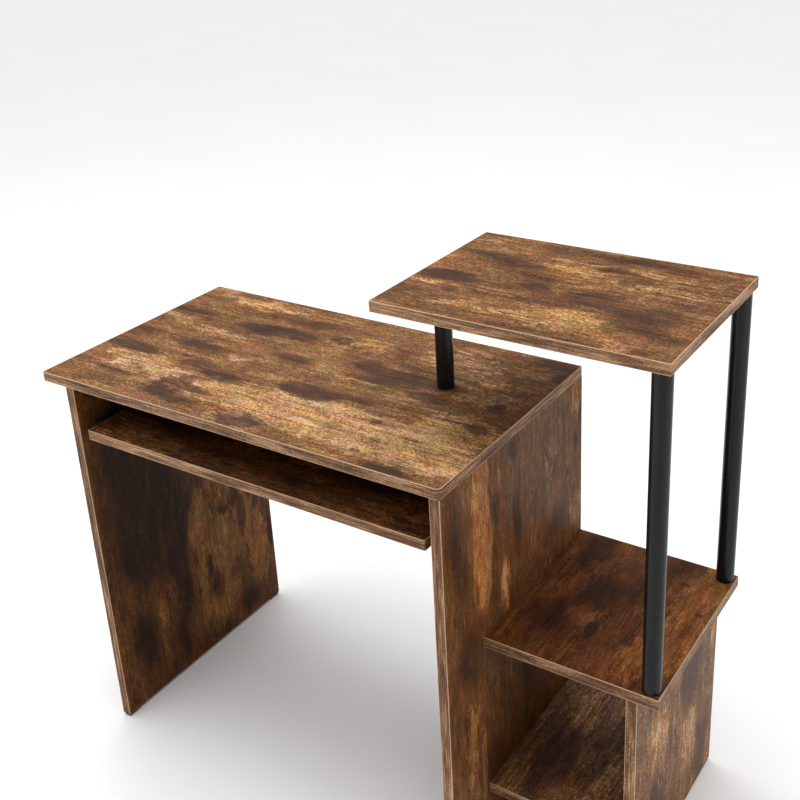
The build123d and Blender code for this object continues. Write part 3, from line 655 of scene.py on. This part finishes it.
TUBE_BLACK = (0.0060, 0.0058, 0.0062)
TUBE_SCRATCH = (0.055, 0.055, 0.057)
TUBE_SCUFF = (0.16, 0.16, 0.165)
RUNNER_BLACK = (0.012, 0.012, 0.012)
RUNNER_SPECK = (0.06, 0.06, 0.062)
BLACK_PLASTIC = (0.012, 0.012, 0.013)
BLACK_FLOW_MARK = (0.022, 0.022, 0.023)
NYLON = (0.62, 0.60, 0.54)
NYLON_FLOW_MARK = (0.72, 0.70, 0.64)
ZINC_BLUE = (0.56, 0.58, 0.62)
ZINC_YELLOW = (0.66, 0.64, 0.56)
ZINC_CRYSTAL = (0.42, 0.43, 0.45)
ZINC_RUB = (0.25, 0.25, 0.26)
CRYSTALS_PER_METRE = 900.0
BEECH = (
    (0.3, (0.42, 0.27, 0.15)),
    (0.7, (0.66, 0.48, 0.31)),
)
BEECH_RAY = (0.26, 0.14, 0.07)


def powder_coat(name):
    """The runners' black coating: a fine orange peel, patches of greyer dust and pale specks."""
    g = Graph(name)
    peel = g.noise(g.place, 0.0011, 2.0, 0.5)
    dust = g.noise(g.place, (0.045, 0.045, 0.11), 4.0, 0.6)
    specks = g.noise(g.place, 0.0016, 0.0)
    colour = g.mix(g.step(dust, 0.42, 0.72, 0.0, 0.6), RUNNER_BLACK, scaled(RUNNER_BLACK, 1.9))
    colour = g.mix(g.step(specks, 0.70, 0.80, 0.0, 0.30), colour, RUNNER_SPECK)
    return g.finish(colour, g.linear(dust, 0.22, 0.31), peel, 0.00006, Specular_IOR_Level=0.5)


def scuffed_coat(tube):
    """A tube's smoother coating, finely scratched, and scuffed where its ends meet the boards."""
    g = Graph("coat_" + tube)
    peel = g.noise(g.place, 0.0012, 2.0, 0.5)
    dust = g.noise(g.place, (0.030, 0.030, 0.16), 4.0, 0.6)
    scratch = g.noise(g.place, (0.0009, 0.0009, 0.020), 1.0, 0.5)
    end = g.inset(*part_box(tube))[2]
    rub = g.noise(g.place, (0.006, 0.006, 0.004), 3.0, 0.7)
    wear = g.step(g.linear(rub, -0.0060, end), -0.0022, -0.0036)
    colour = g.mix(g.step(dust, 0.40, 0.72, 0.0, 0.55), TUBE_BLACK, scaled(TUBE_BLACK, 1.8))
    colour = g.mix(g.step(scratch, 0.72, 0.80, 0.0, 0.25), colour, TUBE_SCRATCH)
    colour = g.mix(g.times(wear, 0.75), colour, TUBE_SCUFF)
    roughness = g.linear(dust, 0.20, g.linear(wear, -0.06, 0.14))
    return g.finish(colour, roughness, peel, 0.00005, Specular_IOR_Level=0.20)


def moulded_plastic(name, base, flow_mark):
    """Moulded plastic: faint flow marks, a fine spark-eroded grain and scuffs."""
    g = Graph(name)
    grain = g.noise(g.place, 0.00055, 2.0, 0.6)
    flow = g.noise(g.place, (0.012, 0.012, 0.004), 3.0, 0.6)
    scuff = g.noise(g.place, (0.004, 0.0012, 0.004), 3.0, 0.7)
    scuffed = tuple(min(1.0, 1.5 * c + 0.02) for c in flow_mark)
    colour = g.mix(g.step(flow, 0.35, 0.70, 0.0, 0.5), base, flow_mark)
    colour = g.mix(g.step(scuff, 0.62, 0.75, 0.0, 0.35), colour, scuffed)
    roughness = g.linear(flow, 0.20, g.linear(scuff, 0.10, 0.34))
    return g.finish(colour, roughness, grain, 0.00004, Specular_IOR_Level=0.5)


def zinc(name):
    """Bright zinc plate: small crystals, a bluish-yellow passivation film and dull rubs."""
    g = Graph(name)
    cells = g.node("TexVoronoi", {"Vector": g.place, "Scale": CRYSTALS_PER_METRE})
    crystals = g.node("SeparateColor", {"Color": cells.outputs["Color"]}).outputs[0]
    film = g.noise(g.place, 0.006, 3.0, 0.6)
    dull = g.noise(g.place, (0.0016, 0.0016, 0.0030), 3.0, 0.7)
    colour = g.mix(g.step(film, 0.35, 0.65), ZINC_BLUE, ZINC_YELLOW)
    colour = g.mix(g.times(crystals, 0.35), colour, ZINC_CRYSTAL)
    colour = g.mix(g.step(dull, 0.58, 0.74, 0.0, 0.5), colour, ZINC_RUB)
    roughness = g.linear(dull, 0.30, g.linear(crystals, 0.10, 0.18))
    return g.finish(colour, roughness, dull, 0.00003, Metallic=1.0)


def beech(name):
    """Pale beech of the fluted dowels: fine grain with small dark rays."""
    g = Graph(name)
    grain = g.noise(g.place, 0.0010, 3.0, 0.7)
    rays = g.noise(g.place, (0.0021, 0.0007, 0.0007), 1.0)
    tone = g.noise(g.place, 0.008, 2.0)
    colour = g.ramp(g.linear(tone, 0.5, g.times(grain, 0.5)), BEECH)
    colour = g.mix(g.step(rays, 0.62, 0.72, 0.0, 0.6), colour, BEECH_RAY)
    return g.finish(colour, g.linear(grain, 0.2, 0.55), grain, 0.00008, Specular_IOR_Level=0.35)


# ---------------------------------------------------------------- materials on the nodes

# The finishes that all nodes of a slot share. Boards, bands and tubes each get their own.
SHARED = {
    "runner_steel": powder_coat("runner_coat"),
    "black_plastic": moulded_plastic("black_plastic", BLACK_PLASTIC, BLACK_FLOW_MARK),
    "nylon": moulded_plastic("nylon", NYLON, NYLON_FLOW_MARK),
    "zinc_steel": zinc("zinc_steel"),
    "beech_dowel": beech("beech_dowel"),
}


def finished_material(node, slot):
    """The material for a node, by the slot that its row of the record names."""
    if slot == "laminate_board":
        return Laminate(node, BOARDS[node]).material()
    if slot == "edge_band":
        board = node.removesuffix("_edge_band")
        return edge_band(board, BOARDS[board])
    if slot == "black_tube":
        return scuffed_coat(node)
    return SHARED[slot]


for row in frame["record"]["subparts"]:
    slots = NODES[row["node"]].data.materials
    slots.clear()
    slots.append(finished_material(row["node"], row["material_slot"]))


# ---------------------------------------------------------------- floor, light and camera

FLOOR_REACH = 30.0
FLOOR_GREY = (0.86, 0.86, 0.86)
FLOOR_PALE = (0.90, 0.90, 0.90)

# The dome's light at the horizon, up to the height where it starts to grow, and straight overhead.
HORIZON_LIGHT = 0.04
HORIZON_HEIGHT = 0.20
OVERHEAD_LIGHT = 1.62
BACKDROP_WHITE = 0.87  # what the camera sees of it

# Each soft box's place, the point that it faces, its width, its height and its power in watts.
LIGHTS = {
    "key": ((-0.8, 0.1, 3.6), (0.0, 0.0, 0.4), 2.4, 2.4, 56.0),
    "reflector": ((-1.1, -2.4, 0.40), (0.1, 0.0, 0.45), 2.4, 0.5, 19.0),
    "fill": ((2.6, -0.3, 0.8), (0.3, 0.0, 0.5), 0.7, 1.2, 12.0),
}

CAMERA_PLACE = (0.94102, -1.25422, 1.43111)
CAMERA_ANGLES = (33.23, 22.09, -2.45)  # azimuth, elevation and roll, in degrees
CAMERA_LENS = 52.27  # millimetres, on a sensor of this width
CAMERA_SENSOR = 36.0
CAMERA_SHIFT = (-0.05, -0.125)
CAMERA_REACH = (0.05, 100.0)


def place_in_scene(name, data):
    """A new object that holds data, linked into the scene."""
    made = bpy.data.objects.new(name, data)
    bpy.context.scene.collection.objects.link(made)
    return made


def stage_floor():
    """A wide pale floor with a very faint mottling."""
    far = FLOOR_REACH
    mesh = bpy.data.meshes.new("floor")
    mesh.from_pydata([(-far, -far, 0), (far, -far, 0), (far, far, 0), (-far, far, 0)], [], [(0, 1, 2, 3)])
    g = Graph("floor")
    colour = g.mix(g.noise(g.place, 0.5, 3.0), FLOOR_GREY, FLOOR_PALE)
    mesh.materials.append(g.finish(colour, 0.8, None, None, Specular_IOR_Level=0.2))
    place_in_scene("floor", mesh)


def softbox(name, place, target, width, height, power):
    """A rectangular area light that faces target."""
    light = bpy.data.lights.new(name, "AREA")
    light.shape = "RECTANGLE"
    light.size, light.size_y = width, height
    light.energy = power
    lamp = place_in_scene(name, light)
    lamp.location = place
    lamp.rotation_euler = (Vector(target) - Vector(place)).to_track_quat("-Z", "Y").to_euler()


def studio_dome():
    """A white world that lights more from overhead than from the horizon, and is seen as a plain backdrop."""
    world = bpy.data.worlds.new("studio")
    world.use_nodes = True
    nodes, links = world.node_tree.nodes, world.node_tree.links
    backdrop = nodes["Background"]
    backdrop.inputs["Color"].default_value = (1.0, 1.0, 1.0, 1.0)
    direction = nodes.new("ShaderNodeTexCoord")
    height = nodes.new("ShaderNodeSeparateXYZ")
    dome = nodes.new("ShaderNodeMapRange")
    dome.interpolation_type = "SMOOTHSTEP"
    dome.inputs["From Min"].default_value = HORIZON_HEIGHT
    dome.inputs["To Min"].default_value = HORIZON_LIGHT
    dome.inputs["To Max"].default_value = OVERHEAD_LIGHT
    paths = nodes.new("ShaderNodeLightPath")
    seen = nodes.new("ShaderNodeMix")
    seen.inputs["B"].default_value = BACKDROP_WHITE
    links.new(direction.outputs["Generated"], height.inputs[0])
    links.new(height.outputs[2], dome.inputs["Value"])
    links.new(paths.outputs["Is Camera Ray"], seen.inputs["Factor"])
    links.new(dome.outputs[0], seen.inputs["A"])
    links.new(seen.outputs[0], backdrop.inputs["Strength"])
    bpy.context.scene.world = world


def photo_camera():
    """The photograph's viewpoint, round to the right and looking down, with the frame shifted a little."""
    azimuth, elevation, roll = (math.radians(angle) for angle in CAMERA_ANGLES)
    level = Vector((math.cos(azimuth), math.sin(azimuth), 0.0))
    away = Vector((math.sin(azimuth), -math.cos(azimuth), 0.0))
    back = math.cos(elevation) * away + Vector((0.0, 0.0, math.sin(elevation)))
    right = math.cos(roll) * level + math.sin(roll) * back.cross(level)
    turn = Matrix((right, back.cross(right), back)).transposed()
    data = bpy.data.cameras.new("camera")
    data.sensor_width = CAMERA_SENSOR
    data.lens = CAMERA_LENS
    data.shift_x, data.shift_y = CAMERA_SHIFT
    data.clip_start, data.clip_end = CAMERA_REACH
    camera = place_in_scene("camera", data)
    camera.matrix_world = Matrix.Translation(CAMERA_PLACE) @ turn.to_4x4()
    bpy.context.scene.camera = camera


stage_floor()
studio_dome()
for name, facts in LIGHTS.items():
    softbox(name, *facts)
photo_camera()
bpy.context.scene.view_settings.view_transform = "Standard"
